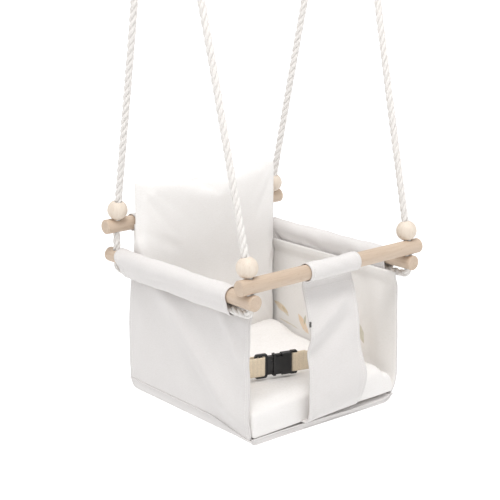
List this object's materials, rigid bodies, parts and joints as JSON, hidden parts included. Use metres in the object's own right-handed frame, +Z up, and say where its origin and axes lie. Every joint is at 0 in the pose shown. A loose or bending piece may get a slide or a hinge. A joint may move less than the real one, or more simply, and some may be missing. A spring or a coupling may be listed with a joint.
{
  "type": "toddler bucket swing",
  "caption": "Canvas bucket seat for a toddler, hung by wooden bars and beads on two ropes, with cushions, a flap between the legs and a buckled lap belt.",
  "frame": {"origin": "middle of the four hanging rings", "axes": "+Z up; -Y is the front, where the legs go through; +X is to the right of someone facing the front"},
  "size_m": [0.422, 0.4101, 0.8546],
  "materials": {
    "steel": "satin",
    "rope": "matte",
    "twine": "matte",
    "beech": "satin",
    "bead_wood": "satin",
    "canvas": "matte",
    "cushion_canvas": "matte",
    "filling": "matte",
    "plywood": "matte",
    "webbing": "matte",
    "black_plastic": "matte",
    "tag": "matte"
  },
  "bodies": {
    "hangers": {"ring_left_front": "steel", "ring_left_rear": "steel", "ring_right_front": "steel", "ring_right_rear": "steel"},
    "seat": {"rope_left": "rope", "rope_right": "rope", "whipping_left_front": "twine", "whipping_left_rear": "twine", "whipping_right_front": "twine", "whipping_right_rear": "twine", "dowel_left": "beech", "dowel_right": "beech", "dowel_rear": "beech", "sleeve_left": "canvas", "sleeve_right": "canvas", "sleeve_rear": "canvas", "panel_left": "canvas", "panel_right": "canvas", "panel_rear": "canvas", "base_cover": "canvas", "base_board": "plywood", "seat_cushion_cover": "cushion_canvas", "seat_cushion_foam": "filling", "crotch_flap": "canvas", "edge_tag": "tag", "strap_left": "webbing", "strap_right": "webbing", "buckle_socket": "black_plastic"},
    "front_bar": {"dowel_front": "beech", "flap_sleeve": "canvas"},
    "back_cushion": {"back_cushion_cover": "cushion_canvas", "back_cushion_fill": "filling"},
    "buckle_plug": {"buckle_plug": "black_plastic"},
    "prong_upper": {"prong_upper": "black_plastic"},
    "prong_lower": {"prong_lower": "black_plastic"},
    "bead_left_front": {"bead_left_front": "bead_wood"},
    "bead_left_rear": {"bead_left_rear": "bead_wood"},
    "bead_right_front": {"bead_right_front": "bead_wood"},
    "bead_right_rear": {"bead_right_rear": "bead_wood"}
  },
  "joints": [
    {"name": "swing", "type": "hinge", "parent": "hangers", "child": "seat", "pos_m": [0, 0, 0.269], "axis": [1, 0, 0], "range_deg": [-9, 9], "deforming": ["rope_left", "rope_right", "whipping_left_front", "whipping_left_rear", "whipping_right_front", "whipping_right_rear"]},
    {"name": "front_bar_lift", "type": "slide", "parent": "seat", "child": "front_bar", "axis": [0, 0.2298, 0.9732], "range_m": [0, 0.05], "deforming": ["crotch_flap", "edge_tag"]},
    {"name": "back_cushion_lift", "type": "slide", "parent": "seat", "child": "back_cushion", "axis": [0, 0, 1], "range_m": [0, 0.36]},
    {"name": "buckle_release", "type": "slide", "parent": "seat", "child": "buckle_plug", "axis": [-0.9537, 0.3007, 0], "range_m": [0, 0.03], "deforming": ["strap_left", "prong_upper", "prong_lower"]},
    {"name": "prong_upper_squeeze", "type": "hinge", "parent": "buckle_plug", "child": "prong_upper", "pos_m": [-0.05606, -0.10114, -0.7335], "axis": [0.3007, 0.9537, 0], "range_deg": [0, 8], "stiffness_Nm_per_rad": 0.4},
    {"name": "prong_lower_squeeze", "type": "hinge", "parent": "buckle_plug", "child": "prong_lower", "pos_m": [-0.05606, -0.10114, -0.7565], "axis": [0.3007, 0.9537, 0], "range_deg": [-8, 0], "stiffness_Nm_per_rad": 0.4},
    {"name": "bead_left_front_slide", "type": "slide", "parent": "front_bar", "child": "bead_left_front", "axis": [-0.0212, 0.2298, 0.973], "range_m": [0, 0.12]},
    {"name": "bead_left_rear_slide", "type": "slide", "parent": "seat", "child": "bead_left_rear", "axis": [-0.0221, -0.2126, 0.9769], "range_m": [0, 0.12]},
    {"name": "bead_right_front_slide", "type": "slide", "parent": "front_bar", "child": "bead_right_front", "axis": [0.0212, 0.2298, 0.973], "range_m": [0, 0.12]},
    {"name": "bead_right_rear_slide", "type": "slide", "parent": "seat", "child": "bead_right_rear", "axis": [0.0221, -0.2126, 0.9769], "range_m": [0, 0.12]}
  ],
  "couplings": [
    {"joint": "prong_lower_squeeze", "follows": "prong_upper_squeeze", "ratio": -1}
  ]
}
